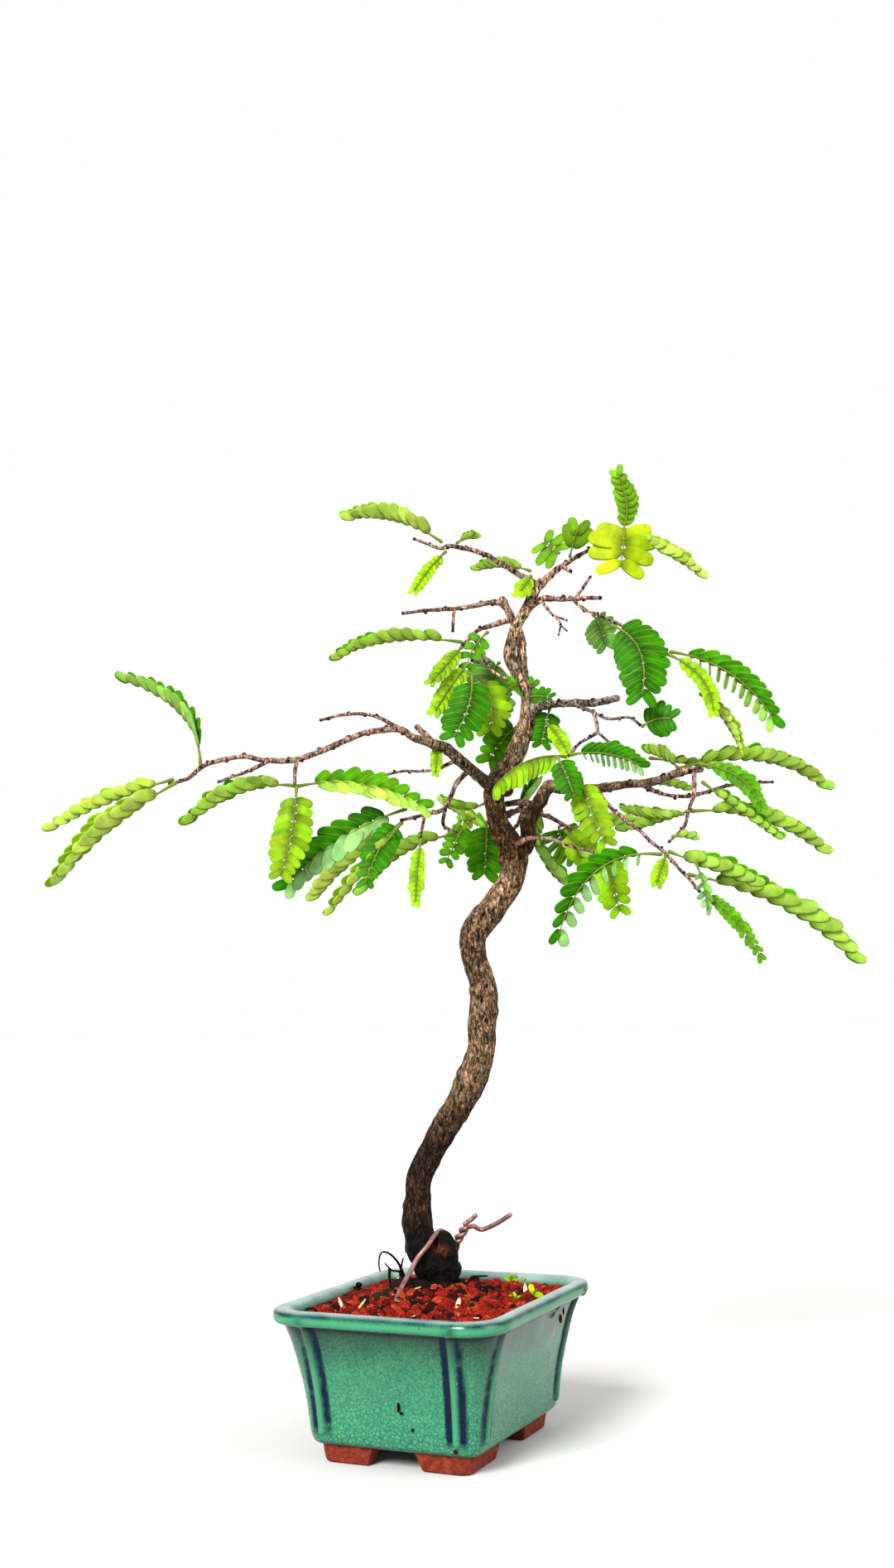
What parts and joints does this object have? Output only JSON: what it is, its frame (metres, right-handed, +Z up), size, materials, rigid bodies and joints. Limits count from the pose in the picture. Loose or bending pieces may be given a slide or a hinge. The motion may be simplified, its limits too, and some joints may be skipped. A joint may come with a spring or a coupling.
{
  "type": "bonsai tree in a pot",
  "caption": "Small bonsai tree with a curving trunk and feathery compound leaves, wired into a flared rectangular glazed pot on corner feet.",
  "frame": {"origin": "bottom centre of the whole object's bounding box, on the ground under the feet", "axes": "+Z up; the pot is square to the axes, its short side faces -Y and its long sides run along Y; the tree spreads towards -X-Y and +X+Y"},
  "size_m": [0.3438, 0.243, 0.4654],
  "materials": {
    "pot_glaze": "mottled green glaze with navy pooled along the ribs; unglazed red-brown clay feet",
    "soil": "loose red-orange lava-like granules, matte",
    "drain_mesh": "black moulded mesh",
    "tie_wire": "copper-brown anodised soft wire",
    "bark": "brown to grey bark with a fine net of cracks, darker and damp at the base",
    "leaf": "smooth, slightly glossy green leaflets with a paler underside"
  },
  "bodies": {
    "root": {"drain_mesh_back": "drain_mesh", "drain_mesh_front": "drain_mesh", "leaf_back_1": "leaf", "leaf_back_2": "leaf", "leaf_back_3": "leaf", "leaf_back_4": "leaf", "leaf_back_5": "leaf", "leaf_dead_1": "leaf", "leaf_dead_2": "leaf", "leaf_dead_3": "leaf", "leaf_dead_4": "leaf", "leaf_fork_1": "leaf", "leaf_left_1": "leaf", "leaf_left_2": "leaf", "leaf_left_3": "leaf", "leaf_left_4": "leaf", "leaf_left_5": "leaf", "leaf_left_6": "leaf", "leaf_left_low_1": "leaf", "leaf_left_low_2": "leaf", "leaf_left_low_3": "leaf", "leaf_left_low_4": "leaf", "leaf_left_low_5": "leaf", "leaf_mid_left_1": "leaf", "leaf_mid_left_2": "leaf", "leaf_mid_left_3": "leaf", "leaf_mid_left_4": "leaf", "leaf_right_1": "leaf", "leaf_right_2": "leaf", "leaf_right_3": "leaf", "leaf_right_4": "leaf", "leaf_right_5": "leaf", "leaf_right_low_1": "leaf", "leaf_right_low_2": "leaf", "leaf_right_low_3": "leaf", "leaf_right_low_4": "leaf", "leaf_top_left_1": "leaf", "leaf_top_left_2": "leaf", "leaf_top_left_3": "leaf", "leaf_top_right_1": "leaf", "leaf_top_right_2": "leaf", "leaf_top_right_3": "leaf", "leaf_top_right_4": "leaf", "leaf_top_right_5": "leaf", "leaf_upper_right_1": "leaf", "leaf_upper_right_2": "leaf", "leaf_upper_right_3": "leaf", "limb_back": "bark", "limb_dead": "bark", "limb_left": "bark", "limb_mid_left": "bark", "limb_right": "bark", "limb_top_left": "bark", "limb_top_right": "bark", "limb_upper_left": "bark", "limb_upper_right": "bark", "pot": "pot_glaze", "soil": "soil", "tie_wire": "tie_wire", "trunk": "bark"}
  },
  "joints": []
}
